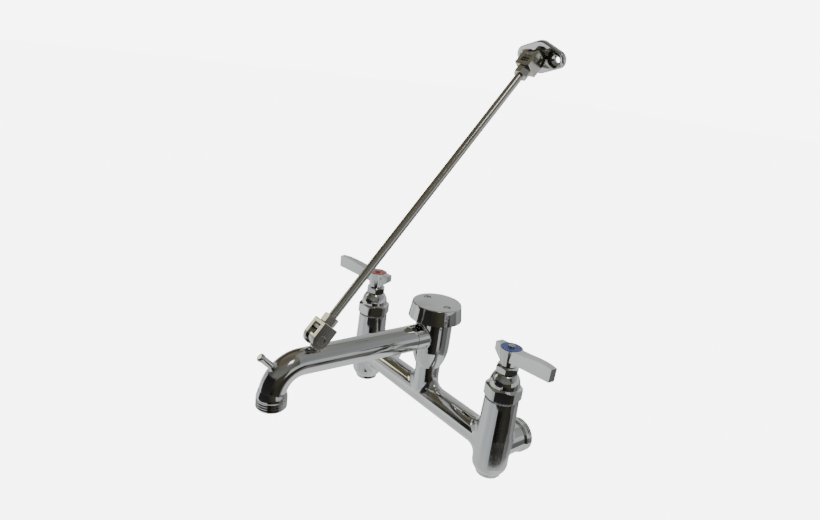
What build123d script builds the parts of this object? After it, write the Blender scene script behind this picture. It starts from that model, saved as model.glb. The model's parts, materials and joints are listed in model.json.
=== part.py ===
from build123d import *
import math
import os

# Wall-mounted service-sink faucet with a vacuum breaker, a pail hook and a top brace.
# Millimetres, +Z up. The origin lies midway between the two inlets, on their wall-side end
# faces. +Y points into the wall, and +X points from the hot side to the cold side.
# Every function below works from the valve plane (y = 0 through both valve axes), and
# export() moves each piece to the origin described above.

# ---- Fits -------------------------------------------------------------------------------
RUNNING_FIT = 0.05          # radial clearance of a pin or spindle that turns in its bore
THREAD_FIT = 0.02           # radial clearance of a piece that is screwed or pressed in
LOOSE_FIT = 0.35            # radial clearance of pieces that must never rub

# ---- Overall layout ---------------------------------------------------------------------
INLET_CENTRES = 203.2       # hot inlet to cold inlet, 8 in
INLET_REACH = 38.0          # valve axis to the inlets' wall-side faces
SPOUT_HEIGHT = 69.3         # spout axis above the bridge axis, at the vacuum breaker
SPOUT_REACH = 177.0         # centre post to outlet
BRACE_LENGTH = 332.0        # lower pin to upper pin
BRACE_ELEVATION = 49.4      # rod above the horizontal, towards the wall, in degrees

# ---- Cast body --------------------------------------------------------------------------
COLUMN_STEP = 3.7           # of the columns outside the bridge's radius
COLUMN_NECK_WALL = 3.4      # round the bonnet's thread
COLUMN_TOP = 50.0
COLUMN_BASE = -26.0
COLUMN_ROUND_START = -17.0  # where the rounded bottom begins
COLUMN_BORE_R = 11.0
BRIDGE_R = 13.1
BRIDGE_LIFT = 2.3           # bridge axis above the inlet axes
BRIDGE_BORE_R = 8.0
POST_STEP = 0.4             # of the post inside the bridge's radius
POST_TOP = 35.4
POST_BORE_R = 8.0
WEB_FILLET = 13.0           # between the bridge and the columns and post
INLET_R = 14.4
INLET_RING_R = 16.2
INLET_RING_LENGTH = 8.0
INLET_BORE_R = 9.3          # 1/2 in female pipe thread, minor radius
INLET_THREAD_DEPTH = 16.0
INLET_PORT_R = 7.5
INLET_FILLET = 5.0
SEAT_TOP = 17.0             # the wall that the cartridge seals against
SEAT_WALL = 5.0
SEAT_PORT_R = 6.0
BONNET_THREAD_R = 12.4
RISER_R = 4.5               # passage from the bridge up to the valve chamber
RISER_TOP = 27.0

# ---- Bottom plugs -----------------------------------------------------------------------
PLUG_LIP = 1.0              # of the plug beyond the column's bore
PLUG_THICKNESS = 4.0
PLUG_SPIGOT = 6.0
PLUG_SLOT_WIDTH = 2.0
PLUG_SLOT_DEPTH = 1.4

# ---- Valve cartridges -------------------------------------------------------------------
GASKET_THICKNESS = 1.0
GASKET_INSET = 0.6          # of a gasket's edge behind the faces that it seals
BONNET_AF = 31.75           # 1 1/4 in across flats
BONNET_HEX_HEIGHT = 13.0
BONNET_CORNER_R = 17.3      # the hexagon's corners are turned down to this
BONNET_CHAMFER = 1.7
BONNET_DOME_BASE_R = 14.2
BONNET_DOME_TOP_R = 9.6
BONNET_DOME_HEIGHT = 12.0
SKIRT_WALL = 2.6
PACKING_AF = 19.05          # 3/4 in across flats
PACKING_HEIGHT = 7.8
PACKING_THREAD_R = 7.6
PACKING_DEPTH = 9.0
PACKING_RING_HEIGHT = 5.0
STEM_R = 4.7
STEM_TOP_R = 4.0
STEM_COLLAR_R = 6.6
STEM_COLLAR_HEIGHT = 4.0
STEM_DRIVE_HEIGHT = 5.0
KEY_LENGTH = 14.0
KEY_WIDTH = 4.0
KEY_HEIGHT = 1.6
DISC_THICKNESS = 3.0
PORT_CIRCLE_R = 5.4         # the sealing discs' ports lie on this circle
PORT_R = 2.8
SEAL_HEIGHT = 5.0
SEAL_WALL = 1.2
SKIRT_TOP_WALL = 2.0        # solid metal between the skirt's bore and the gasket face
WINDOW_WIDTH = 8.0
WINDOW_HEIGHT = 7.0
BONNET_TURN = {"hot": 5.0, "cold": -20.0}    # where each hexagon ends up when tightened
PACKING_TURN = {"hot": 20.0, "cold": 2.0}

# ---- Lever handles ----------------------------------------------------------------------
HANDLE_GAP = 0.6            # above the packing nut
HUB_BASE_R = 8.0
HUB_TOP_R = 10.4
HUB_HEIGHT = 16.0
LEVER_LENGTH = 51.6
LEVER_PEAK = 45.0           # where the top edge is highest
LEVER_RISE = 5.6            # of the top edge above the hub
LEVER_DEPTH = 12.2          # height of the blade's end
LEVER_NOSE = 0.3            # drop from the top edge's peak to the tip
LEVER_ROOT_WIDTH = 13.0
LEVER_TIP_WIDTH = 6.5
STUB_LENGTH = 16.8
STUB_DROP = 0.6             # the stub's end below the hub's top
STUB_WIDTH = 9.0
STUB_DEPTH = 7.4            # height of the stub's end face
HUB_CROWN = 3.0             # solid metal over the spindle's end
INDEX_R = 9.5
INDEX_THICKNESS = 1.4
INDEX_PROUD = 0.5
SCREW_HEAD_R = 3.2
SCREW_HEAD_HEIGHT = 1.8
SCREW_R = 1.9
SCREW_LENGTH = 12.0
HOT_REST_ANGLE = 18.6       # both levers rest turned a little towards the user
COLD_REST_ANGLE = 6.5

# ---- Vacuum breaker ---------------------------------------------------------------------
BREAKER_R = 18.6
BREAKER_FOOT_STEP = 0.3     # of the breaker's foot beyond the post
BOWL_STEP = 1.0             # top of the rounded bowl below the chamber's floor
BREAKER_RIM = 5.7           # top of the breaker above its spout arm
BREAKER_SPIGOT_WALL = 2.4
BREAKER_SPIGOT = 8.0
CHAMBER_WALL = 4.4
CHAMBER_DEPTH = 10.3        # chamber's floor below the spout's axis
ARM_R = 13.0
ARM_REACH = 28.0            # post axis to the joint with the spout
ARM_FILLET = 3.0
FLOAT_CLEARANCE = 2.2       # round the float, in its chamber
FLOAT_THICKNESS = 3.0
FLOAT_STEM_R = 2.4
FLOAT_STEM = 26.0
FLOAT_SEAL_HEIGHT = 1.6
FLOAT_TRAVEL = 11.0
VENT_FLANGE_INSET = 0.3
VENT_FLANGE = 3.0
VENT_GASKET = 0.8
VENT_SLEEVE_WALL = 4.0
GUIDE_WALL = 1.8
GUIDE_DEPTH = 8.0
VENT_HOLE_MARGIN = 1.0      # between a vent hole and the walls beside it
VENT_HOLE_COUNT = 6
CAP_OVERHANG = 8.4          # of the cap's rim beyond the breaker
CAP_TAPER = 2.3             # the lid's radius is this much less than the rim's
CAP_HEIGHT = 15.5
CAP_WALL = 2.0
CAP_LID = 3.2
CAP_EDGE = 1.0
CAP_POST_R = 3.2
CAP_SCREW_INSET = 3.3       # each screw's centre inside the vent ring's edge
CAP_SCREW_R = 1.9
CAP_SCREW_HEAD_R = 3.4
CAP_SCREW_HEAD = 1.3
CAP_SCREW_SINK = 1.8
CAP_SCREW_LENGTH = 10.0

# ---- Spout ------------------------------------------------------------------------------
SPOUT_R = 11.9
SPOUT_BORE_R = 9.0
SPOUT_RISE = 1.1            # degrees that the spout climbs towards the bend
BEND_R = 26.0
SPOUT_SPIGOT_WALL = 1.6
SPOUT_SPIGOT = 9.0
MOUTH_STEP = 0.4            # the bore is this much wider where it enters the spout
MOUTH_DEPTH = 2.0           # of that wider bore beyond the joint
SPOUT_GASKET = 0.8
PLAIN_DROP = 0.9            # of pipe between the bend and the hose thread
HOSE_R = 13.45              # 3/4 in garden hose thread, 26.9 mm outside
HOSE_PITCH = 2.209          # 11.5 threads an inch
HOSE_TURNS = 4
HOSE_DEPTH = 1.2            # thread depth
HOSE_COLLAR = 1.0
HOSE_CONE = 6.0             # height of the flare above the collar
HOOK_R = 3.1
HOOK_LENGTH = 17.5
HOOK_HEAD_R = 3.7
HOOK_HEAD = 3.8
HOOK_FOOT_R = 4.4
HOOK_FOOT = 3.0
HOOK_ROOT = 1.8             # how far its root enters the spout's wall

# ---- Brace ------------------------------------------------------------------------------
LUG_BACK = 137.6            # lower pin in front of the post axis
EYE_R = 6.6
EYE_THICKNESS = 8.6
EYE_GAP = 4.2               # between an eye and the floor of its clevis's slot
SLOT_CLEARANCE = 0.2        # on each side of an eye
LUG_FOOT = 0.5              # of neck showing below the lower clevis
LUG_NECK = 8.0
LUG_FILLET = 1.0
LUG_CORNER = 1.5            # rounding of the lug's upright corners
PIN_R = 3.97                # 5/16 in pin
PIN_RECESS = 0.8            # of a pin's ends below the clevis's sides
CLEVIS_SIZE = 17.0
CLEVIS_WALL = 3.6
CLEVIS_EDGE = 0.6
ROD_R = 3.97                # 5/16 in rod
ROD_POKE = 1.5              # of each end of the rod into its clevis's slot
JAM_AF = 12.7               # 1/2 in across flats
JAM_HEIGHT = 8.0
JAM_CHAMFER = 0.6
UPPER_TWIST = 6.0           # the upper clevis is screwed on a little past square
BRACKET_TILT = 35.0         # rest angle between the rod and the bracket's normal
BRACKET_LENGTH = 56.0
BRACKET_WIDTH = 31.0
BRACKET_END_R = 8.5
BRACKET_THICKNESS = 5.0
BRACKET_STANDOFF = 10.0     # upper pin to the bracket's front face
BRACKET_WEB = 14.0
BRACKET_EDGE = 1.5
WALL_SCREW_SPREAD = 19.5
WALL_HOLE_R = 3.0
WALL_SINK_R = 5.0
WALL_SINK = 2.2

# ---- Sizes and heights that follow from the values above --------------------------------
COLUMN_NECK_R = BONNET_THREAD_R + COLUMN_NECK_WALL
PLUG_R = COLUMN_BORE_R + PLUG_LIP
COLUMN_R = BRIDGE_R + COLUMN_STEP
POST_R = BRIDGE_R - POST_STEP
BREAKER_FOOT_R = POST_R + BREAKER_FOOT_STEP
BREAKER_SPIGOT_R = POST_BORE_R + BREAKER_SPIGOT_WALL
BREAKER_TOP = SPOUT_HEIGHT + ARM_R + BREAKER_RIM
CHAMBER_FLOOR = SPOUT_HEIGHT - CHAMBER_DEPTH
BREAKER_BOWL_TOP = CHAMBER_FLOOR - BOWL_STEP
CHAMBER_R = BREAKER_R - CHAMBER_WALL
FLOAT_R = CHAMBER_R - FLOAT_CLEARANCE
VENT_FLANGE_R = BREAKER_R - VENT_FLANGE_INSET
CAP_SCREW_SPREAD = VENT_FLANGE_R - CAP_SCREW_INSET
CAP_RIM_R = BREAKER_R + CAP_OVERHANG
CAP_TOP_R = CAP_RIM_R - CAP_TAPER
CAP_RIM_Z = BREAKER_TOP
SPOUT_ROOT_R = ARM_R
SPOUT_SPIGOT_R = SPOUT_BORE_R + SPOUT_SPIGOT_WALL
CLEVIS_SLOT = EYE_THICKNESS + 2 * SLOT_CLEARANCE
CLEVIS_BASE = EYE_R + EYE_GAP + CLEVIS_WALL
PIN_LENGTH = CLEVIS_SIZE - 2 * PIN_RECESS
LUG_HEIGHT = SPOUT_R + LUG_FOOT + CLEVIS_SIZE / 2
HEX_BASE = COLUMN_TOP + GASKET_THICKNESS
HEX_TOP = HEX_BASE + BONNET_HEX_HEIGHT
DOME_TOP = HEX_TOP + BONNET_DOME_HEIGHT
PACKING_TOP = DOME_TOP + PACKING_HEIGHT
HUB_BASE = PACKING_TOP + HANDLE_GAP
HUB_TOP = HUB_BASE + HUB_HEIGHT
SKIRT_R = BONNET_THREAD_R - THREAD_FIT
SKIRT_BORE_R = SKIRT_R - SKIRT_WALL
DISC_R = SKIRT_BORE_R - LOOSE_FIT
FIXED_DISC_Z = SEAT_TOP + SEAL_HEIGHT
MOVING_DISC_Z = FIXED_DISC_Z + DISC_THICKNESS
DRIVE_Z = MOVING_DISC_Z + DISC_THICKNESS
COLLAR_Z = HEX_BASE + 2.0
CAP_TOP = CAP_RIM_Z + CAP_HEIGHT
FLANGE_Z = BREAKER_TOP + VENT_GASKET
CAP_DECK = CAP_TOP - CAP_LID
FLOAT_Z = CHAMBER_FLOOR
VENT_LIP_Z = FLOAT_Z + FLOAT_THICKNESS + FLOAT_SEAL_HEIGHT + FLOAT_TRAVEL
RISE = math.radians(SPOUT_RISE)
JOINT_REACH = ARM_REACH + SPOUT_GASKET
BEND_START_REACH = SPOUT_REACH - BEND_R * (1 + math.sin(RISE))
BEND_START_Z = SPOUT_HEIGHT + (BEND_START_REACH - JOINT_REACH) * math.tan(RISE)
BEND_CENTRE = (0, BEND_R - SPOUT_REACH, BEND_START_Z - BEND_R * math.cos(RISE))
THREAD_TOP = BEND_CENTRE[2] - PLAIN_DROP
OUTLET_Z = THREAD_TOP - (HOSE_TURNS + 0.5) * HOSE_PITCH
LOWER_PIN = (0, -LUG_BACK, SPOUT_HEIGHT + (LUG_BACK - JOINT_REACH) * math.tan(RISE) + LUG_HEIGHT)


def tube(radius, low, high):
    """An upright cylinder between two heights."""
    return Pos(0, 0, low) * Cylinder(radius, high - low, align=(Align.CENTER, Align.CENTER, Align.MIN))


def turned(points):
    """A body turned about Z from its half outline, given as (radius, height)."""
    return revolve(Plane.XZ * make_face(Polyline(*points, close=True)), Axis.Z)


def hexagon(across_flats, low, high, chamfer, corner=None):
    """A hexagonal nut blank turned down at both ends, and to the radius corner where one is given."""
    blank = Pos(0, 0, low) * extrude(RegularPolygon(across_flats / 2, 6, major_radius=False), high - low)
    corner = corner or across_flats / 2 / math.cos(math.pi / 6)
    turned_down = turned(
        [
            (0, low),
            (corner - 2.2 * chamfer, low),
            (corner, low + chamfer),
            (corner, high - chamfer),
            (corner - 2.2 * chamfer, high),
            (0, high),
        ]
    )
    return blank & turned_down


def along(point, axis, side=(1, 0, 0)):
    """A place whose Z runs along an axis and whose X runs along a side direction."""
    return Plane(origin=point, x_dir=side, z_dir=axis).location


# ---- Cast body --------------------------------------------------------------------------
def column():
    outline = Polyline((0, COLUMN_BASE), (PLUG_R + 0.4, COLUMN_BASE))
    outline += TangentArc(
        (COLUMN_R, COLUMN_ROUND_START), (PLUG_R + 0.4, COLUMN_BASE), tangent=(0, -1)
    )
    outline += Polyline(
        (COLUMN_R, COLUMN_ROUND_START), (COLUMN_R, BRIDGE_R), (COLUMN_NECK_R, COLUMN_TOP), (0, COLUMN_TOP),
        (0, COLUMN_BASE),
    )
    return revolve(Plane.XZ * make_face(outline), Axis.Z)


def inlet_boss():
    """The supply boss, with a ringed end, along +Y."""
    ring = INLET_REACH - INLET_RING_LENGTH
    groove = INLET_RING_LENGTH / 8
    points = [(0, 0), (INLET_R, 0), (INLET_R, ring - 2), (INLET_RING_R, ring)]
    for step in (3, 5):
        points += [
            (INLET_RING_R, ring + step * groove),
            (INLET_RING_R - 0.8, ring + (step + 0.5) * groove),
            (INLET_RING_R, ring + (step + 1) * groove),
        ]
    points += [(INLET_RING_R, INLET_REACH - 1), (INLET_RING_R - 1, INLET_REACH), (0, INLET_REACH)]
    return along((0, 0, 0), (0, 1, 0)) * turned(points)


def blend(base, pieces, radius):
    """Join pieces to a base and round the seams that this makes."""
    joined = base
    for piece in pieces:
        joined += piece
    return fillet(new_edges(base, *pieces, combined=joined), radius)


def faucet_body():
    half = INLET_CENTRES / 2
    bridge = along((-half, 0, BRIDGE_LIFT), (1, 0, 0), (0, 1, 0)) * tube(BRIDGE_R, 0, INLET_CENTRES)
    columns = Pos(-half, 0, 0) * column() + Pos(half, 0, 0) * column()
    casting = blend(columns, [bridge, tube(POST_R, BRIDGE_LIFT, POST_TOP)], WEB_FILLET)
    bosses = [Pos(side * half, 0, 0) * inlet_boss() for side in (-1, 1)]
    casting = blend(casting, bosses, INLET_FILLET)
    for side in (-1, 1):
        x = side * half
        cavity = tube(COLUMN_BORE_R, COLUMN_BASE, SEAT_TOP - SEAT_WALL)
        cavity += tube(SEAT_PORT_R, COLUMN_BASE, COLUMN_TOP)
        cavity += tube(BONNET_THREAD_R, SEAT_TOP, COLUMN_TOP)
        supply = tube(INLET_PORT_R, 0, INLET_REACH)
        supply += tube(INLET_BORE_R, INLET_REACH - INLET_THREAD_DEPTH, INLET_REACH)
        cavity += along((0, 0, 0), (0, 1, 0)) * supply
        casting -= Pos(x, 0, 0) * cavity
        low = Vector(x - side * (COLUMN_R + 7), 0, BRIDGE_LIFT)
        high = Vector(x - side * (COLUMN_BORE_R - 2), 0, RISER_TOP)
        casting -= along(low, high - low, (0, 1, 0)) * tube(RISER_R, 0, (high - low).length)
    run = half - COLUMN_R - 4
    casting -= along((-run, 0, BRIDGE_LIFT), (1, 0, 0), (0, 1, 0)) * tube(BRIDGE_BORE_R, 0, 2 * run)
    casting -= tube(POST_BORE_R, BRIDGE_LIFT, POST_TOP)
    casting -= tube(BREAKER_SPIGOT_R + THREAD_FIT, POST_TOP - BREAKER_SPIGOT, POST_TOP)
    return casting


def bottom_plug():
    """The plug that closes the core hole under a column, slotted for a screwdriver."""
    low = COLUMN_BASE - PLUG_THICKNESS
    plug = tube(PLUG_R, low, COLUMN_BASE)
    plug += tube(COLUMN_BORE_R - THREAD_FIT, COLUMN_BASE, COLUMN_BASE + PLUG_SPIGOT)
    plug = fillet(plug.edges().filter_by(GeomType.CIRCLE).sort_by(Axis.Z)[0], 1.5)
    slot = Pos(0, 0, low) * Box(2 * PLUG_R, PLUG_SLOT_WIDTH, 2 * PLUG_SLOT_DEPTH)
    return plug - slot


# ---- Valve cartridges -------------------------------------------------------------------
def bonnet():
    """The hexagonal valve bonnet, with the threaded skirt that holds the discs."""
    shoulder = (BONNET_DOME_BASE_R, HEX_TOP + 0.6)
    dome = Polyline((0, HEX_TOP - 1), (BONNET_DOME_BASE_R, HEX_TOP - 1), shoulder)
    dome += TangentArc(shoulder, (BONNET_DOME_TOP_R, DOME_TOP), tangent=(0, 1))
    dome += Polyline((BONNET_DOME_TOP_R, DOME_TOP), (0, DOME_TOP), (0, HEX_TOP - 1))
    shell = hexagon(BONNET_AF, HEX_BASE, HEX_TOP, BONNET_CHAMFER, BONNET_CORNER_R)
    shell += revolve(Plane.XZ * make_face(dome), Axis.Z)
    shell += tube(SKIRT_R, FIXED_DISC_Z, HEX_BASE)
    shell -= tube(STEM_R + RUNNING_FIT, FIXED_DISC_Z, DOME_TOP)
    shell -= tube(STEM_COLLAR_R + LOOSE_FIT, FIXED_DISC_Z, COLLAR_Z + STEM_COLLAR_HEIGHT + LOOSE_FIT)
    shell -= tube(SKIRT_BORE_R, FIXED_DISC_Z, HEX_BASE - SKIRT_TOP_WALL)
    shell -= tube(PACKING_THREAD_R + THREAD_FIT, DOME_TOP - PACKING_DEPTH, DOME_TOP)
    window = Pos(0, 0, DRIVE_Z + WINDOW_HEIGHT / 2) * Box(3 * SKIRT_R, WINDOW_WIDTH, WINDOW_HEIGHT)
    return shell - window


def bonnet_gasket():
    ring = tube(COLUMN_NECK_R - GASKET_INSET, COLUMN_TOP, HEX_BASE)
    return ring - tube(SKIRT_R + LOOSE_FIT, COLUMN_TOP, HEX_BASE)


def packing_ring():
    low = DOME_TOP - PACKING_DEPTH
    ring = tube(PACKING_THREAD_R - THREAD_FIT, low, low + PACKING_RING_HEIGHT)
    return ring - tube(STEM_R + RUNNING_FIT, low, low + PACKING_RING_HEIGHT)


def packing_nut():
    low = DOME_TOP - PACKING_DEPTH + PACKING_RING_HEIGHT
    nut = hexagon(PACKING_AF, DOME_TOP, PACKING_TOP, 1.8) + tube(PACKING_THREAD_R, low, DOME_TOP)
    return nut - tube(STEM_R + RUNNING_FIT, low, PACKING_TOP)


def valve_stem():
    """The spindle: drive head, shank, retaining collar and the end that the handle sits on."""
    stem = tube(DISC_R, DRIVE_Z, DRIVE_Z + STEM_DRIVE_HEIGHT)
    stem += tube(STEM_R, DRIVE_Z, HUB_BASE) + tube(STEM_TOP_R, HUB_BASE, HUB_TOP - HUB_CROWN)
    stem += tube(STEM_COLLAR_R, COLLAR_Z, COLLAR_Z + STEM_COLLAR_HEIGHT)
    stem += Pos(0, 0, DRIVE_Z - KEY_HEIGHT / 2) * Box(KEY_LENGTH, KEY_WIDTH, KEY_HEIGHT)
    return stem - tube(SCREW_R + THREAD_FIT, HUB_TOP - SCREW_LENGTH - 1, HUB_TOP)


def disc_ports(low, angle):
    """The two opposite ports through a sealing disc."""
    ports = [
        Rot(0, 0, angle + turn) * Pos(PORT_CIRCLE_R, 0, 0) * tube(PORT_R, low, low + DISC_THICKNESS)
        for turn in (0, 180)
    ]
    return ports[0] + ports[1]


def moving_disc():
    disc = tube(DISC_R, MOVING_DISC_Z, DRIVE_Z) - disc_ports(MOVING_DISC_Z, 90)
    keyway = Pos(0, 0, DRIVE_Z - KEY_HEIGHT / 2)
    keyway *= Box(KEY_LENGTH + 2 * THREAD_FIT, KEY_WIDTH + 2 * THREAD_FIT, KEY_HEIGHT)
    return disc - keyway


def fixed_disc():
    disc = tube(SKIRT_BORE_R - THREAD_FIT, FIXED_DISC_Z, MOVING_DISC_Z)
    return disc - disc_ports(FIXED_DISC_Z, 0)


def seat_seal():
    ring = tube(SKIRT_BORE_R, SEAT_TOP, FIXED_DISC_Z)
    return ring - tube(SKIRT_BORE_R - SEAL_WALL, SEAT_TOP, FIXED_DISC_Z)


# ---- Lever handles ----------------------------------------------------------------------
def lever():
    """The lever, its hub and the short stub behind it, pointing along +X."""
    root = HUB_BASE_R - 2
    tip_z = HUB_TOP + LEVER_RISE - LEVER_NOSE
    side = Polyline(
        (root, HUB_BASE + 5.2), (LEVER_LENGTH - 0.5, tip_z - LEVER_DEPTH), (LEVER_LENGTH, tip_z)
    )
    side += Spline(
        (LEVER_LENGTH, tip_z), (LEVER_PEAK, HUB_TOP + LEVER_RISE),
        (root + 9, HUB_TOP + 1.2), (root, HUB_TOP),
    )
    side += Line((root, HUB_TOP), (root, HUB_BASE + 5.2))
    blade = extrude(Plane.XZ * make_face(side), LEVER_ROOT_WIDTH, both=True)
    plan = Polyline(
        (root, -LEVER_ROOT_WIDTH / 2), (LEVER_LENGTH, -LEVER_TIP_WIDTH / 2),
        (LEVER_LENGTH, LEVER_TIP_WIDTH / 2), (root, LEVER_ROOT_WIDTH / 2), close=True,
    )
    blade &= Pos(0, 0, HUB_BASE) * extrude(make_face(plan), 2 * HUB_HEIGHT)
    blade = fillet(blade.edges().filter_by(Axis.Z).sort_by(Axis.X)[-2:], 0.8)
    stub_top = HUB_TOP - STUB_DROP
    stub_side = Polyline(
        (0, HUB_BASE + 2), (-HUB_BASE_R, HUB_BASE + 1.6), (1 - STUB_LENGTH, stub_top - STUB_DEPTH),
        (-STUB_LENGTH, stub_top - STUB_DEPTH + 0.6), (-STUB_LENGTH, stub_top),
        (-HUB_TOP_R, HUB_TOP), (0, HUB_TOP), close=True,
    )
    stub = extrude(Plane.XZ * make_face(stub_side), STUB_WIDTH / 2, both=True)
    stub = fillet(stub.edges().filter_by(Axis.Z).sort_by(Axis.X)[:2], 1.5)
    hub = turned([(0, HUB_BASE), (HUB_BASE_R, HUB_BASE), (HUB_TOP_R, HUB_TOP), (0, HUB_TOP)])
    return hub + blade + stub


def handle():
    grip = lever()
    pocket = INDEX_THICKNESS - INDEX_PROUD
    grip -= tube(INDEX_R + THREAD_FIT, HUB_TOP - pocket, HUB_TOP + LEVER_RISE)
    grip -= tube(STEM_TOP_R + THREAD_FIT, HUB_BASE, HUB_TOP - HUB_CROWN)
    return grip - tube(SCREW_R + LOOSE_FIT, HUB_BASE, HUB_TOP)


def index_disc():
    low = HUB_TOP - INDEX_THICKNESS + INDEX_PROUD
    disc = tube(INDEX_R, low, HUB_TOP + INDEX_PROUD)
    disc = fillet(disc.edges().filter_by(GeomType.CIRCLE).sort_by(Axis.Z)[-1], 0.4)
    return disc - tube(SCREW_R + LOOSE_FIT, low, HUB_TOP + INDEX_PROUD)


def pan_screw(seat, head_r, head, shank_r, length):
    """A slotted pan-head screw that sits on a face at height seat and points down."""
    top = tube(head_r, seat, seat + head)
    top = fillet(top.edges().filter_by(GeomType.CIRCLE).sort_by(Axis.Z)[-1], head * 0.45)
    top -= Pos(0, 0, seat + head) * Box(3 * head_r, head_r * 0.28, head * 0.9)
    return top + tube(shank_r, seat - length, seat)


def handle_screw():
    return pan_screw(HUB_TOP + INDEX_PROUD, SCREW_HEAD_R, SCREW_HEAD_HEIGHT, SCREW_R, SCREW_LENGTH)


# ---- Vacuum breaker ---------------------------------------------------------------------
def breaker_body():
    outline = Polyline((0, POST_TOP), (BREAKER_FOOT_R, POST_TOP))
    outline += TangentArc(
        (BREAKER_R, BREAKER_BOWL_TOP), (BREAKER_FOOT_R, POST_TOP), tangent=(0, -1)
    )
    outline += Polyline(
        (BREAKER_R, BREAKER_BOWL_TOP), (BREAKER_R, BREAKER_TOP), (0, BREAKER_TOP), (0, POST_TOP)
    )
    bowl = revolve(Plane.XZ * make_face(outline), Axis.Z)
    arm_place = along((0, 0, SPOUT_HEIGHT), (0, -1, 0))
    casting = blend(bowl, [arm_place * tube(ARM_R, 0, ARM_REACH)], ARM_FILLET)
    casting += tube(BREAKER_SPIGOT_R, POST_TOP - BREAKER_SPIGOT, POST_TOP)
    casting -= tube(POST_BORE_R, POST_TOP - BREAKER_SPIGOT, CHAMBER_FLOOR)
    casting -= tube(CHAMBER_R, CHAMBER_FLOOR, BREAKER_TOP)
    bore = tube(SPOUT_BORE_R, 0, ARM_REACH)
    bore += tube(SPOUT_SPIGOT_R + THREAD_FIT, ARM_REACH - SPOUT_SPIGOT, ARM_REACH)
    return casting - arm_place * bore


def vent_gasket():
    ring = tube(VENT_FLANGE_R, BREAKER_TOP, FLANGE_Z)
    return ring - tube(CHAMBER_R + LOOSE_FIT, BREAKER_TOP, FLANGE_Z)


def vent_ring():
    """The vented ring that guides the float, closes against it, and carries the cap."""
    sleeve_r = CHAMBER_R - THREAD_FIT
    deck = FLANGE_Z + VENT_FLANGE
    ring = tube(sleeve_r, VENT_LIP_Z, FLANGE_Z) - tube(sleeve_r - VENT_SLEEVE_WALL, VENT_LIP_Z, FLANGE_Z)
    ring += tube(VENT_FLANGE_R, FLANGE_Z, deck)
    ring += tube(FLOAT_STEM_R + GUIDE_WALL, FLANGE_Z - GUIDE_DEPTH, FLANGE_Z)
    for side in (-1, 1):
        place = Pos(side * CAP_SCREW_SPREAD, 0, 0)
        ring += place * tube(CAP_POST_R, deck, CAP_DECK)
        ring -= place * tube(CAP_SCREW_R + THREAD_FIT, CAP_DECK - CAP_SCREW_LENGTH, CAP_DECK)
    guide_r = FLOAT_STEM_R + GUIDE_WALL
    gap = sleeve_r - VENT_SLEEVE_WALL - guide_r
    for step in range(VENT_HOLE_COUNT):
        place = Rot(0, 0, (step + 0.5) * 360 / VENT_HOLE_COUNT) * Pos(guide_r + gap / 2, 0, 0)
        ring -= place * tube(gap / 2 - VENT_HOLE_MARGIN, FLANGE_Z, deck)
    return ring - tube(FLOAT_STEM_R + RUNNING_FIT, FLANGE_Z - GUIDE_DEPTH, deck)


def breaker_float():
    puck = tube(FLOAT_R, FLOAT_Z, FLOAT_Z + FLOAT_THICKNESS)
    return puck + tube(FLOAT_STEM_R, FLOAT_Z, FLOAT_Z + FLOAT_STEM)


def float_seal():
    low = FLOAT_Z + FLOAT_THICKNESS
    ring = tube(FLOAT_R, low, low + FLOAT_SEAL_HEIGHT)
    return ring - tube(FLOAT_STEM_R + THREAD_FIT, low, low + FLOAT_SEAL_HEIGHT)


def breaker_cap():
    """The hood over the air vents, with two counterbored screw holes."""
    skin = turned([(0, CAP_RIM_Z), (CAP_RIM_R, CAP_RIM_Z), (CAP_TOP_R, CAP_TOP), (0, CAP_TOP)])
    skin = fillet(skin.edges().filter_by(GeomType.CIRCLE).sort_by(Axis.Z)[-1], CAP_EDGE)
    hollow = turned(
        [
            (0, CAP_RIM_Z), (CAP_RIM_R - CAP_WALL, CAP_RIM_Z),
            (CAP_TOP_R - CAP_WALL, CAP_DECK), (0, CAP_DECK),
        ]
    )
    cap = skin - hollow
    for side in (-1, 1):
        place = Pos(side * CAP_SCREW_SPREAD, 0, 0)
        cap -= place * tube(CAP_SCREW_R + LOOSE_FIT, CAP_DECK, CAP_TOP)
        cap -= place * tube(CAP_SCREW_HEAD_R + LOOSE_FIT, CAP_TOP - CAP_SCREW_SINK, CAP_TOP)
    return cap


def cap_screws():
    seat = CAP_TOP - CAP_SCREW_SINK
    screw = pan_screw(seat, CAP_SCREW_HEAD_R, CAP_SCREW_HEAD, CAP_SCREW_R, CAP_SCREW_LENGTH)
    pair = [Pos(side * CAP_SCREW_SPREAD, 0, 0) * Rot(0, 0, 35 * side) * screw for side in (-1, 1)]
    return Compound(children=pair)


# ---- Spout ------------------------------------------------------------------------------
def thread_profile():
    """Half outline of the hose thread as rings, from the collar down to the outlet."""
    collar = THREAD_TOP + HOSE_COLLAR
    points = [(0, collar + HOSE_CONE), (SPOUT_R - 0.2, collar + HOSE_CONE), (HOSE_R, collar)]
    points += [(HOSE_R, THREAD_TOP), (HOSE_R - HOSE_DEPTH, THREAD_TOP - HOSE_PITCH / 4)]
    for turn in range(HOSE_TURNS):
        crest = THREAD_TOP - (turn + 0.75) * HOSE_PITCH
        points += [(HOSE_R, crest + 0.2 * HOSE_PITCH), (HOSE_R, crest - 0.1 * HOSE_PITCH)]
        points += [(HOSE_R - HOSE_DEPTH, crest - 0.5 * HOSE_PITCH)]
    return points + [(HOSE_R - HOSE_DEPTH, OUTLET_Z), (0, OUTLET_Z)]


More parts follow.
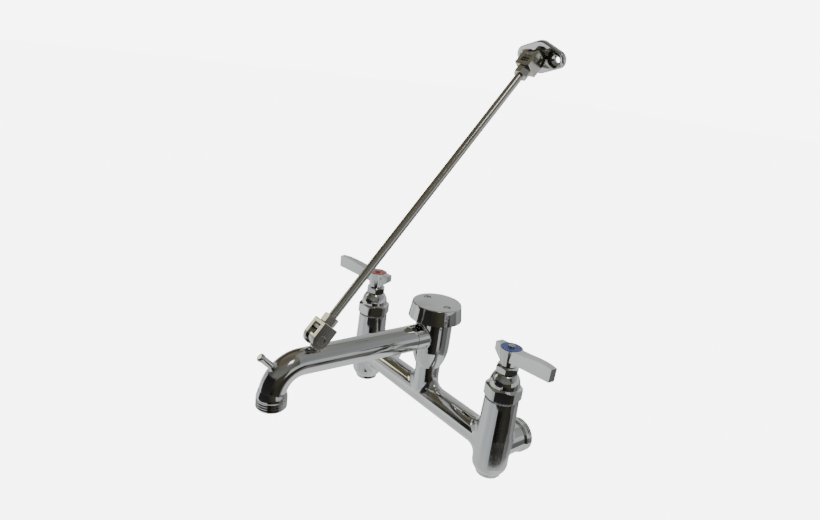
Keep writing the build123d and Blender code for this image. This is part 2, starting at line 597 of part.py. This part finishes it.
def spout_solid(root_r, pipe_r, drop_end):
    """The straight run, the bend and the drop of the spout, for a skin or for its bore."""
    place = along((0, -JOINT_REACH, SPOUT_HEIGHT), (0, -math.cos(RISE), math.sin(RISE)))
    length = (BEND_START_REACH - JOINT_REACH) / math.cos(RISE)
    run = place * turned([(0, -MOUTH_DEPTH), (root_r, -MOUTH_DEPTH), (pipe_r, length), (0, length)])
    mouth = place * Pos(0, 0, length) * Circle(pipe_r)
    bend = revolve(mouth, Axis(BEND_CENTRE, (1, 0, 0)), 90 + SPOUT_RISE)
    drop = Pos(0, -SPOUT_REACH, 0) * tube(pipe_r, drop_end, BEND_CENTRE[2])
    return run + bend + drop


def eye(thickness):
    """A round eye about the X axis."""
    return Rot(0, 90, 0) * Cylinder(EYE_R, thickness)


def spout():
    skin = spout_solid(SPOUT_ROOT_R, SPOUT_R, THREAD_TOP)
    neck_foot = LUG_HEIGHT - SPOUT_R + 3
    neck = Box(EYE_THICKNESS, LUG_NECK, neck_foot)
    neck = fillet(neck.edges().filter_by(Axis.Z), LUG_CORNER)
    neck = Pos(*LOWER_PIN) * Pos(0, 0, -neck_foot / 2) * neck
    skin = blend(skin, [neck], LUG_FILLET)
    skin += Pos(*LOWER_PIN) * eye(EYE_THICKNESS)
    skin += Pos(0, -SPOUT_REACH, 0) * turned(thread_profile())
    behind = 2 * SPOUT_ROOT_R
    skin -= Pos(0, behind / 2 - JOINT_REACH, SPOUT_HEIGHT) * Box(3 * SPOUT_ROOT_R, behind, 3 * SPOUT_ROOT_R)
    joint = along((0, -JOINT_REACH, SPOUT_HEIGHT), (0, 1, 0))
    skin += joint * tube(SPOUT_SPIGOT_R, 0, SPOUT_SPIGOT)
    skin -= spout_solid(SPOUT_BORE_R, SPOUT_BORE_R, OUTLET_Z)
    skin -= joint * tube(SPOUT_BORE_R + MOUTH_STEP, -MOUTH_DEPTH, SPOUT_SPIGOT)
    skin -= Pos(*LOWER_PIN) * Rot(0, 90, 0) * Cylinder(PIN_R + RUNNING_FIT, 2 * EYE_THICKNESS)
    return skin - hook_place() * tube(HOOK_R + THREAD_FIT, -HOOK_ROOT, HOOK_LENGTH)


def spout_gasket():
    ring = tube(SPOUT_ROOT_R - GASKET_INSET, 0, SPOUT_GASKET)
    ring -= tube(SPOUT_SPIGOT_R + THREAD_FIT, 0, SPOUT_GASKET)
    return along((0, -ARM_REACH, SPOUT_HEIGHT), (0, -1, 0)) * ring


def hook_place():
    """Where the pail hook stands on the outside of the bend, pointing out and up."""
    slope = math.radians(45)
    out = Vector(0, -math.cos(slope), math.sin(slope))
    return along(Vector(*BEND_CENTRE) + out * (BEND_R + SPOUT_R), out)


def pail_hook():
    head = HOOK_LENGTH - HOOK_HEAD
    peg = tube(HOOK_R, -HOOK_ROOT, head + 1)
    foot = turned([(0, 0), (HOOK_FOOT_R, 0), (HOOK_R, HOOK_FOOT), (0, HOOK_FOOT)])
    knob = tube(HOOK_HEAD_R, head, HOOK_LENGTH)
    knob = fillet(knob.edges().filter_by(GeomType.CIRCLE), 0.45 * HOOK_HEAD)
    return hook_place() * (peg + foot + knob)


# ---- Brace ------------------------------------------------------------------------------
def brace_axis():
    slope = math.radians(BRACE_ELEVATION)
    return Vector(0, math.cos(slope), math.sin(slope))


def lower_place():
    """At the lower pin: Z runs up the rod and X along the pin."""
    return along(LOWER_PIN, brace_axis())


def upper_place():
    """At the upper pin: Z runs back down the rod and X along the upper pin."""
    point = Vector(*LOWER_PIN) + brace_axis() * BRACE_LENGTH
    side = Vector(1, 0, 0).rotate(Axis((0, 0, 0), brace_axis()), UPPER_TWIST)
    return along(point, -brace_axis(), side)


def bracket_place():
    """At the upper pin: Z runs towards the wall and X along the upper pin."""
    point = Vector(*LOWER_PIN) + brace_axis() * BRACE_LENGTH
    side = Vector(1, 0, 0).rotate(Axis((0, 0, 0), brace_axis()), UPPER_TWIST)
    normal = brace_axis().rotate(Axis((0, 0, 0), side), -BRACKET_TILT)
    return along(point, normal, side)


def clevis():
    """A forked end about a pin on X, with its closed end at +Z."""
    block = Pos(0, 0, CLEVIS_BASE / 2) * Box(CLEVIS_SIZE, CLEVIS_SIZE, CLEVIS_BASE)
    block += Rot(0, 90, 0) * Cylinder(CLEVIS_SIZE / 2, CLEVIS_SIZE)
    block = chamfer(block.edges().filter_by(Plane.XY).sort_by(Axis.Z)[-4:], CLEVIS_EDGE)
    slot_top = CLEVIS_BASE - CLEVIS_WALL
    block -= Pos(0, 0, slot_top - CLEVIS_SIZE) * Box(CLEVIS_SLOT, 2 * CLEVIS_SIZE, 2 * CLEVIS_SIZE)
    block -= Rot(0, 90, 0) * Cylinder(PIN_R + THREAD_FIT, 2 * CLEVIS_SIZE)
    return block - tube(ROD_R + THREAD_FIT, 0, CLEVIS_BASE)


def clevis_pin():
    pin = Rot(0, 90, 0) * Cylinder(PIN_R, PIN_LENGTH)
    return chamfer(pin.edges().filter_by(GeomType.CIRCLE), 0.4)


def jam_nut():
    nut = hexagon(JAM_AF, CLEVIS_BASE, CLEVIS_BASE + JAM_HEIGHT, JAM_CHAMFER)
    return nut - tube(ROD_R + THREAD_FIT, CLEVIS_BASE, CLEVIS_BASE + JAM_HEIGHT)


def brace_rod():
    end = CLEVIS_BASE - CLEVIS_WALL - ROD_POKE
    rod = tube(ROD_R, end, BRACE_LENGTH - end)
    return chamfer(rod.edges().filter_by(GeomType.CIRCLE), 0.4)


def wall_bracket():
    """The flange that screws to the wall, with the eye that the upper clevis holds."""
    spread = BRACKET_LENGTH / 2 - BRACKET_END_R
    outline = make_hull(
        (
            Circle(BRACKET_WIDTH / 2)
            + Pos(spread, 0) * Circle(BRACKET_END_R)
            + Pos(-spread, 0) * Circle(BRACKET_END_R)
        ).edges()
    )
    back = BRACKET_STANDOFF + BRACKET_THICKNESS
    flange = Pos(0, 0, BRACKET_STANDOFF) * extrude(outline, BRACKET_THICKNESS)
    flange = fillet(flange.faces().sort_by(Axis.Z)[0].edges(), BRACKET_EDGE)
    web = Pos(0, 0, back / 2) * Box(EYE_THICKNESS, BRACKET_WEB, back)
    bracket = flange + web + eye(EYE_THICKNESS)
    bracket -= Rot(0, 90, 0) * Cylinder(PIN_R + RUNNING_FIT, 2 * EYE_THICKNESS)
    for side in (-1, 1):
        hole = tube(WALL_HOLE_R, 0, back) + turned(
            [(0, 0), (WALL_SINK_R, 0), (WALL_SINK_R, BRACKET_STANDOFF),
             (WALL_HOLE_R, BRACKET_STANDOFF + WALL_SINK), (0, BRACKET_STANDOFF + WALL_SINK)]
        )
        bracket -= Pos(side * WALL_SCREW_SPREAD, 0, 0) * hole
    return bracket


# ---- Assembly ---------------------------------------------------------------------------
def export(name, shape):
    """Move a piece from the valve plane to the wall-side origin and write it."""
    export_step(Pos(0, -INLET_REACH, 0) * shape, f"parts/{name}.step")


def export_valves():
    still = {
        "bottom_plug": bottom_plug(),
        "bonnet_gasket": bonnet_gasket(),
        "packing_ring": packing_ring(),
        "fixed_disc": fixed_disc(),
        "seat_seal": seat_seal(),
    }
    turning = {
        "valve_stem": valve_stem(),
        "moving_disc": moving_disc(),
        "lever_handle": handle(),
        "index_disc": index_disc(),
        "handle_screw": handle_screw(),
    }
    rest = {"hot": 180 + HOT_REST_ANGLE, "cold": -COLD_REST_ANGLE}
    for name, side in (("hot", -1), ("cold", 1)):
        place = Pos(side * INLET_CENTRES / 2, 0, 0)
        export(f"{name}_bonnet", place * Rot(0, 0, BONNET_TURN[name]) * bonnet())
        export(f"{name}_packing_nut", place * Rot(0, 0, PACKING_TURN[name]) * packing_nut())
        for piece, shape in still.items():
            export(f"{name}_{piece}", place * shape)
        for piece, shape in turning.items():
            export(f"{name}_{piece}", place * Rot(0, 0, rest[name]) * shape)


def main():
    os.makedirs("parts", exist_ok=True)
    export("faucet_body", faucet_body())
    export_valves()
    export("vacuum_breaker_body", breaker_body())
    export("vent_gasket", vent_gasket())
    export("vent_ring", vent_ring())
    export("breaker_float", breaker_float())
    export("float_seal", float_seal())
    export("breaker_cap", breaker_cap())
    export("cap_screws", cap_screws())
    export("spout_gasket", spout_gasket())
    export("spout", spout())
    export("pail_hook", pail_hook())
    export("lower_clevis", lower_place() * clevis())
    export("lower_pin", lower_place() * clevis_pin())
    export("lower_jam_nut", lower_place() * jam_nut())
    export("brace_rod", lower_place() * brace_rod())
    export("upper_jam_nut", upper_place() * jam_nut())
    export("upper_clevis", upper_place() * clevis())
    export("upper_pin", upper_place() * clevis_pin())
    export("wall_bracket", bracket_place() * wall_bracket())


main()
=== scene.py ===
"""Service-sink faucet: finishes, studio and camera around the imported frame. Metres, +Z up."""

import json
import math

import bpy
from mathutils import Matrix, Vector

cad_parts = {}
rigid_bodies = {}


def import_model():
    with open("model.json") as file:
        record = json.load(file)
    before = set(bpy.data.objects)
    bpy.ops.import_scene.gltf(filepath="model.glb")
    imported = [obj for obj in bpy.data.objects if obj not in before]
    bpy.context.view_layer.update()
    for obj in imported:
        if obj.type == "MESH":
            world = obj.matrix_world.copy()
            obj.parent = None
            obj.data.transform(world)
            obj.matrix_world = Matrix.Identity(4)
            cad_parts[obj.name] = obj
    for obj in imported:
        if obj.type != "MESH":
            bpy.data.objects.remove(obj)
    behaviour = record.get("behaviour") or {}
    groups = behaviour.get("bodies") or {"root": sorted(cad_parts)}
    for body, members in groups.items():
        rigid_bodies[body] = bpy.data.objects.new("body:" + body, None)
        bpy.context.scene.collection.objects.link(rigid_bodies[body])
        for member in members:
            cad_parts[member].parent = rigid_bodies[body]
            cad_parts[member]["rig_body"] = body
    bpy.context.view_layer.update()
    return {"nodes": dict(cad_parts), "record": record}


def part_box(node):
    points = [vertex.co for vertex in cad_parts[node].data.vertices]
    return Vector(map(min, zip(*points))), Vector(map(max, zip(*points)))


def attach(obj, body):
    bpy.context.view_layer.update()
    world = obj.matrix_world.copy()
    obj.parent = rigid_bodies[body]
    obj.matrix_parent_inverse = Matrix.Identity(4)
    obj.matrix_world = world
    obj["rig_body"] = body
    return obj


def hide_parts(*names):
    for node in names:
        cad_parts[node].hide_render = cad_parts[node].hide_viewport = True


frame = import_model()

# ---- Sizes and places -------------------------------------------------------------------
MM = 0.001
FLOOR_Z = -0.42             # the faucet hangs above it, as on a wall over a sink
CAMERA_PLACE = Vector((408.35, -433.82, 326.60)) * MM
CAMERA_AIM = Vector((-0.72014, 0.62244, -0.30654))
CAMERA_ROLL = math.radians(7.47)
CAMERA_LENS = 26.7
SENSOR_WIDTH = 36.0
WORLD_STRENGTH = 7.0
FLOOR_SIZE = 40.0
TENT_RADIUS = 3.0
TENT_SEGMENTS = 180
TENT_RINGS = 90
MERGE_DISTANCE = 0.002 * MM
FLAT_ANGLE = math.radians(0.5)
BEVEL_SEGMENTS = 2
CARD_PLACE = Vector((20, -520, 65)) * MM
CARD_WIDTH = 0.58
CARD_HEIGHT = 0.28
INLET_SPREAD = 101.6 * MM   # from the middle to either column
COLUMN_Y = -38.0 * MM
HUB_MIDDLE = 8.0 * MM       # above the lever's underside
HUB_CARD_WAY = Vector((-0.51, 0.54, 0.67))
HUB_CARD_GAP = 0.10
HUB_CARD_WIDTH = 0.075
HUB_CARD_HEIGHT = 0.022


# ---- Camera -----------------------------------------------------------------------------
def place_camera():
    forward = CAMERA_AIM.normalized()
    level = forward.cross(Vector((0, 0, 1))).normalized()
    upward = level.cross(forward)
    right = level * math.cos(CAMERA_ROLL) + upward * math.sin(CAMERA_ROLL)
    up = right.cross(forward)
    turn = Matrix((right, up, -forward)).transposed().to_4x4()
    data = bpy.data.cameras.new("camera")
    data.lens = CAMERA_LENS
    data.sensor_width = SENSOR_WIDTH
    data.clip_start = 0.01
    camera = bpy.data.objects.new("camera", data)
    camera.matrix_world = Matrix.Translation(CAMERA_PLACE) @ turn
    bpy.context.scene.collection.objects.link(camera)
    bpy.context.scene.camera = camera


# ---- Shared shader groups ---------------------------------------------------------------
def new_group(name, inputs, outputs):
    """An empty node group with named number inputs and typed outputs."""
    group = bpy.data.node_groups.new(name, "ShaderNodeTree")
    for label, value in inputs.items():
        socket = group.interface.new_socket(name=label, in_out="INPUT", socket_type="NodeSocketFloat")
        socket.default_value = value
    for label, kind in outputs.items():
        group.interface.new_socket(name=label, in_out="OUTPUT", socket_type=kind)
    return group, group.nodes.new("NodeGroupInput"), group.nodes.new("NodeGroupOutput")


def noise(tree, vector, scale, detail, stretch=(1, 1, 1)):
    """A noise texture on a vector that a Mapping node stretches."""
    mapping = tree.nodes.new("ShaderNodeMapping")
    mapping.inputs["Scale"].default_value = stretch
    tree.links.new(vector, mapping.inputs["Vector"])
    texture = tree.nodes.new("ShaderNodeTexNoise")
    texture.inputs["Scale"].default_value = scale
    texture.inputs["Detail"].default_value = detail
    tree.links.new(mapping.outputs["Vector"], texture.inputs["Vector"])
    return texture.outputs["Fac"]


def ranged(tree, value, low, high):
    """Map a 0.3 to 0.7 noise value onto low to high."""
    node = tree.nodes.new("ShaderNodeMapRange")
    node.inputs["From Min"].default_value = 0.3
    node.inputs["From Max"].default_value = 0.7
    tree.links.new(value, node.inputs["Value"])
    for label, bound in (("To Min", low), ("To Max", high)):
        if isinstance(bound, float):
            node.inputs[label].default_value = bound
        else:
            tree.links.new(bound, node.inputs[label])
    return node.outputs["Result"]


def math_node(tree, operation, first, second):
    node = tree.nodes.new("ShaderNodeMath")
    node.operation = operation
    for socket, value in zip(node.inputs, (first, second)):
        if isinstance(value, float):
            socket.default_value = value
        else:
            tree.links.new(value, socket)
    return node.outputs["Value"]


def plating_group():
    """Handling marks on plated metal: patchy haze, fine polishing scratches and a faint ripple."""
    group, given, out = new_group(
        "plating",
        {"Gloss": 0.05, "Haze": 0.12, "Ripple": 1.0},
        {"Roughness": "NodeSocketFloat", "Height": "NodeSocketFloat", "Tarnish": "NodeSocketFloat"},
    )
    place = group.nodes.new("ShaderNodeTexCoord").outputs["Object"]
    haze = noise(group, place, 55.0, 4.0)
    scratch_a = noise(group, place, 900.0, 2.0, (1, 0.05, 0.4))
    scratch_b = noise(group, place, 900.0, 2.0, (0.05, 1, 0.3))
    scratches = math_node(group, "MULTIPLY", scratch_a, scratch_b)
    blurred = ranged(group, haze, given.outputs["Gloss"], given.outputs["Haze"])
    fine = math_node(group, "MULTIPLY", scratches, 0.06)
    group.links.new(math_node(group, "ADD", blurred, fine), out.inputs["Roughness"])
    ripple = noise(group, place, 160.0, 1.0)
    swell = noise(group, place, 40.0, 0.0)
    height = math_node(group, "MULTIPLY", ripple, 0.35)
    height = math_node(group, "ADD", height, swell)
    height = math_node(group, "MULTIPLY", height, given.outputs["Ripple"])
    group.links.new(height, out.inputs["Height"])
    group.links.new(ranged(group, noise(group, place, 18.0, 3.0), 0.0, 1.0), out.inputs["Tarnish"])
    return group


def moulding_group():
    """Moulded or pressed surfaces: fine pimples and slow blotches."""
    group, given, out = new_group(
        "moulding",
        {"Smooth": 0.3, "Rough": 0.5, "Grain": 1.0},
        {"Roughness": "NodeSocketFloat", "Height": "NodeSocketFloat", "Blotch": "NodeSocketFloat"},
    )
    place = group.nodes.new("ShaderNodeTexCoord").outputs["Object"]
    pimples = noise(group, place, 2600.0, 2.0)
    blotch = noise(group, place, 220.0, 3.0)
    group.links.new(
        ranged(group, blotch, given.outputs["Smooth"], given.outputs["Rough"]), out.inputs["Roughness"]
    )
    group.links.new(math_node(group, "MULTIPLY", pimples, given.outputs["Grain"]), out.inputs["Height"])
    group.links.new(ranged(group, blotch, 0.0, 1.0), out.inputs["Blotch"])
    return group


PLATING = plating_group()
MOULDING = moulding_group()


def two_tone(tree, factor, first, second):
    node = tree.nodes.new("ShaderNodeMix")
    node.data_type = "RGBA"
    node.inputs["A"].default_value = (*first, 1)
    node.inputs["B"].default_value = (*second, 1)
    tree.links.new(factor, node.inputs["Factor"])
    return node.outputs["Result"]


def start_material(name, metallic):
    material = bpy.data.materials.new(name)
    material.use_nodes = True
    shader = material.node_tree.nodes["Principled BSDF"]
    shader.inputs["Metallic"].default_value = metallic
    return material, material.node_tree, shader


def add_bump(tree, shader, height, strength, distance):
    bump = tree.nodes.new("ShaderNodeBump")
    bump.inputs["Strength"].default_value = strength
    bump.inputs["Distance"].default_value = distance
    tree.links.new(height, bump.inputs["Height"])
    tree.links.new(bump.outputs["Normal"], shader.inputs["Normal"])


def plated_metal(name, clean, dull, gloss, haze, ripple):
    """Plated or bare metal with the shared handling marks."""
    material, tree, shader = start_material(name, 1.0)
    marks = tree.nodes.new("ShaderNodeGroup")
    marks.node_tree = PLATING
    marks.inputs["Gloss"].default_value = gloss
    marks.inputs["Haze"].default_value = haze
    marks.inputs["Ripple"].default_value = ripple
    tree.links.new(two_tone(tree, marks.outputs["Tarnish"], clean, dull), shader.inputs["Base Color"])
    tree.links.new(marks.outputs["Roughness"], shader.inputs["Roughness"])
    add_bump(tree, shader, marks.outputs["Height"], 0.05, 0.2 * MM)
    return material


def moulded(name, first, second, smooth, rough, grain, coat=0.0):
    """Plastic, rubber or ceramic with the shared moulding texture."""
    material, tree, shader = start_material(name, 0.0)
    marks = tree.nodes.new("ShaderNodeGroup")
    marks.node_tree = MOULDING
    marks.inputs["Smooth"].default_value = smooth
    marks.inputs["Rough"].default_value = rough
    marks.inputs["Grain"].default_value = grain
    tree.links.new(two_tone(tree, marks.outputs["Blotch"], first, second), shader.inputs["Base Color"])
    tree.links.new(marks.outputs["Roughness"], shader.inputs["Roughness"])
    shader.inputs["Coat Weight"].default_value = coat
    add_bump(tree, shader, marks.outputs["Height"], 0.25, 0.02 * MM)
    return material


FINISHES = {
    "chrome": plated_metal("polished_chrome", (0.80, 0.81, 0.81), (0.71, 0.71, 0.70), 0.04, 0.11, 0.8),
    "nickel": plated_metal("bright_nickel", (0.74, 0.73, 0.68), (0.62, 0.60, 0.54), 0.10, 0.20, 0.06),
    "brass": plated_metal("turned_brass", (0.72, 0.55, 0.27), (0.52, 0.38, 0.18), 0.22, 0.38, 1.0),
    "ceramic": moulded("lapped_alumina", (0.88, 0.86, 0.80), (0.80, 0.78, 0.72), 0.12, 0.22, 0.2, 0.4),
    "packing": moulded("packing_ptfe", (0.82, 0.82, 0.79), (0.72, 0.72, 0.69), 0.45, 0.6, 0.6),
    "seal": moulded("seal_rubber", (0.022, 0.022, 0.023), (0.045, 0.044, 0.043), 0.5, 0.7, 1.0),
    "float": moulded("float_acetal", (0.05, 0.05, 0.053), (0.09, 0.09, 0.092), 0.3, 0.45, 0.5),
    "index_red": moulded(
        "index_red", (0.070, 0.006, 0.007), (0.052, 0.005, 0.005), 0.22, 0.36, 0.05, 0.3),
    "index_blue": moulded(
        "index_blue", (0.0022, 0.0075, 0.042), (0.0016, 0.0055, 0.031), 0.22, 0.36, 0.05, 0.3),
}


# ---- Frame pieces -----------------------------------------------------------------------
def slots_by_node():
    return {entry["node"]: entry["material_slot"] for entry in frame["record"]["subparts"]}


def finish_frame():
    """Every carried-over node takes the finish of its own slot."""
    for node, slot in slots_by_node().items():
        mesh = frame["nodes"][node].data
        mesh.materials.clear()
        mesh.materials.append(FINISHES[slot])


def select_only(piece):
    bpy.ops.object.select_all(action="DESELECT")
    piece.select_set(True)
    bpy.context.view_layer.objects.active = piece


def smoothed(node, crease=32.0, edge=0.0):
    """A joined-up, smooth-shaded copy of a node, with its sharp edges broken by a small bevel."""
    source = frame["nodes"][node]
    body = source["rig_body"]
    piece = bpy.data.objects.new(f"{node}_skin", source.data.copy())
    bpy.context.scene.collection.objects.link(piece)
    piece.data.materials.clear()
    piece.data.materials.append(FINISHES[slots_by_node()[node]])
    select_only(piece)
    bpy.ops.object.mode_set(mode="EDIT")
    bpy.ops.mesh.select_all(action="SELECT")
    bpy.ops.mesh.remove_doubles(threshold=MERGE_DISTANCE)
    bpy.ops.mesh.customdata_custom_splitnormals_clear()
    if edge:
        bpy.ops.mesh.dissolve_limited(angle_limit=FLAT_ANGLE)
    bpy.ops.object.mode_set(mode="OBJECT")
    if edge:
        bevel = piece.modifiers.new("edges", "BEVEL")
        bevel.width = edge
        bevel.segments = BEVEL_SEGMENTS
        bevel.limit_method = "ANGLE"
        bevel.angle_limit = math.radians(crease)
        bpy.ops.object.modifier_apply(modifier="edges")
    bpy.ops.object.shade_smooth_by_angle(angle=math.radians(crease))
    if edge:
        flatten = piece.modifiers.new("flats", "WEIGHTED_NORMAL")
        flatten.keep_sharp = True
        bpy.ops.object.modifier_apply(modifier="flats")
    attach(piece, body)
    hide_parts(node)
    return piece


# ---- Studio -----------------------------------------------------------------------------
def floor():
    bpy.ops.object.select_all(action="DESELECT")
    bpy.ops.mesh.primitive_plane_add(size=FLOOR_SIZE, location=(0, 0, FLOOR_Z))
    sheet = bpy.context.object
    sheet.name = "floor"
    material = bpy.data.materials.new("pale_floor")
    material.use_nodes = True
    shader = material.node_tree.nodes["Principled BSDF"]
    shader.inputs["Base Color"].default_value = (0.95, 0.95, 0.95, 1)
    shader.inputs["Roughness"].default_value = 0.9
    shader.inputs["Specular IOR Level"].default_value = 0.0
    sheet.data.materials.append(material)
    sheet.visible_glossy = False


def panel_material(name, first, second):
    """A lit studio panel, unevenly bright between two colours."""
    material = bpy.data.materials.new(name)
    material.use_nodes = True
    tree = material.node_tree
    shader = tree.nodes["Principled BSDF"]
    shader.inputs["Base Color"].default_value = (0, 0, 0, 1)
    shader.inputs["Specular IOR Level"].default_value = 0.0
    shader.inputs["Emission Strength"].default_value = 1.0
    place = tree.nodes.new("ShaderNodeTexCoord").outputs["Object"]
    patch = ranged(tree, noise(tree, place, 0.4, 0.0), 0.0, 1.0)
    tree.links.new(two_tone(tree, patch, first, second), shader.inputs["Emission Color"])
    return material


# Each panel of the tent: name, bearings from the camera (right is positive), lifts, two colours.
# A later panel lies over an earlier one.
PANELS = (
    ("tent_wall", (-180, 180), (-90, 90), (0.42, 0.43, 0.43), (0.62, 0.63, 0.63)),
    ("tent_ground", (-180, 180), (-90, -34), (0.58, 0.60, 0.60), (0.80, 0.82, 0.82)),
    ("tent_ceiling_left", (-180, 60), (48, 90), (0.13, 0.12, 0.09), (0.24, 0.22, 0.17)),
    ("tent_ceiling_right", (60, 180), (48, 90), (0.22, 0.22, 0.21), (0.32, 0.32, 0.31)),
    ("tent_left", (-180, -12), (-34, -6), (0.48, 0.51, 0.52), (0.95, 0.99, 1.0)),
    ("tent_left_high", (-160, -84), (14, 48), (0.07, 0.06, 0.04), (0.16, 0.14, 0.09)),
    ("tent_front", (-84, 58), (14, 48), (0.06, 0.06, 0.05), (0.20, 0.20, 0.19)),
    ("tent_right_high", (58, 132), (14, 48), (0.22, 0.23, 0.24), (0.36, 0.37, 0.38)),
    ("tent_room", (-82, 44), (-6, 14), (0.02, 0.02, 0.015), (0.06, 0.055, 0.04)),
    ("tent_dark", (-12, 70), (-34, -6), (0.010, 0.009, 0.007), (0.045, 0.042, 0.034)),
    ("tent_shade", (70, 106), (-34, -6), (0.12, 0.12, 0.12), (0.22, 0.22, 0.215)),
    ("tent_right", (106, 180), (-34, -6), (0.28, 0.29, 0.29), (0.44, 0.45, 0.45)),
    ("tent_lamp", (14, 34), (52, 66), (2.4, 2.4, 2.5), (3.0, 3.0, 3.1)),
    ("tent_cream", (-107, -92), (16, 32), (1.5, 1.4, 1.05), (1.8, 1.7, 1.3)),
)


def tent():
    """A round tent of panels that is seen only in the polished metal."""
    bpy.ops.object.select_all(action="DESELECT")
    bpy.ops.mesh.primitive_uv_sphere_add(
        segments=TENT_SEGMENTS, ring_count=TENT_RINGS, radius=TENT_RADIUS)
    shell = bpy.context.object
    shell.name = "tent"
    facing = math.atan2(CAMERA_PLACE.y, CAMERA_PLACE.x)
    for name, _, _, first, second in PANELS:
        shell.data.materials.append(panel_material(name, first, second))
    for face in shell.data.polygons:
        out = face.center.normalized()
        lift = math.degrees(math.asin(out.z))
        bearing = (math.degrees(math.atan2(out.y, out.x) - facing) + 180) % 360 - 180
        for index, (_, bearings, lifts, _, _) in enumerate(PANELS):
            if bearings[0] <= bearing <= bearings[1] and lifts[0] <= lift <= lifts[1]:
                face.material_index = index
    shell.visible_camera = False
    shell.visible_diffuse = False
    shell.visible_shadow = False
    shell.visible_transmission = False


def dark_card(name, place, facing, width, height):
    """A dark card, upright to a direction, that is seen only in the metal near it."""
    bpy.ops.object.select_all(action="DESELECT")
    bpy.ops.mesh.primitive_plane_add(size=1, location=place)
    card = bpy.context.object
    card.name = name
    card.rotation_euler = Vector(facing).to_track_quat("Z", "Y").to_euler()
    card.scale = (width, height, 1)
    black = panel_material(f"{name}_black", (0.010, 0.009, 0.010), (0.035, 0.033, 0.033))
    card.data.materials.append(black)
    card.visible_camera = False
    card.visible_diffuse = False
    card.visible_shadow = False
    card.visible_transmission = False


def cards():
    dark_card("spout_card", CARD_PLACE, (0, 1, 0), CARD_WIDTH, CARD_HEIGHT)
    for node in ("hot_lever_handle", "cold_lever_handle"):
        low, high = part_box(node)
        hub = Vector((math.copysign(INLET_SPREAD, low.x + high.x), COLUMN_Y, low.z + HUB_MIDDLE))
        dark_card(f"{node}_card", hub - HUB_CARD_WAY * HUB_CARD_GAP, HUB_CARD_WAY,
                  HUB_CARD_WIDTH, HUB_CARD_HEIGHT)


def world_light():
    world = bpy.data.worlds.new("studio")
    world.use_nodes = True
    background = world.node_tree.nodes["Background"]
    background.inputs["Color"].default_value = (1.0, 1.0, 1.0, 1)
    background.inputs["Strength"].default_value = WORLD_STRENGTH
    world.cycles_visibility.glossy = False
    bpy.context.scene.world = world


place_camera()
finish_frame()
SMOOTH = {
    "spout": 0.0, "vacuum_breaker_body": 0.0, "pail_hook": 0.0,
    "hot_lever_handle": 0.0, "cold_lever_handle": 0.0, "breaker_cap": 0.0, "wall_bracket": 0.0,
    "hot_bonnet": 0.3, "cold_bonnet": 0.3, "lower_clevis": 0.35, "upper_clevis": 0.35,
    "lower_jam_nut": 0.15, "upper_jam_nut": 0.15, "brace_rod": 0.0,
}
for node, edge in SMOOTH.items():
    smoothed(node, edge=edge * MM)
floor()
world_light()
tent()
cards()
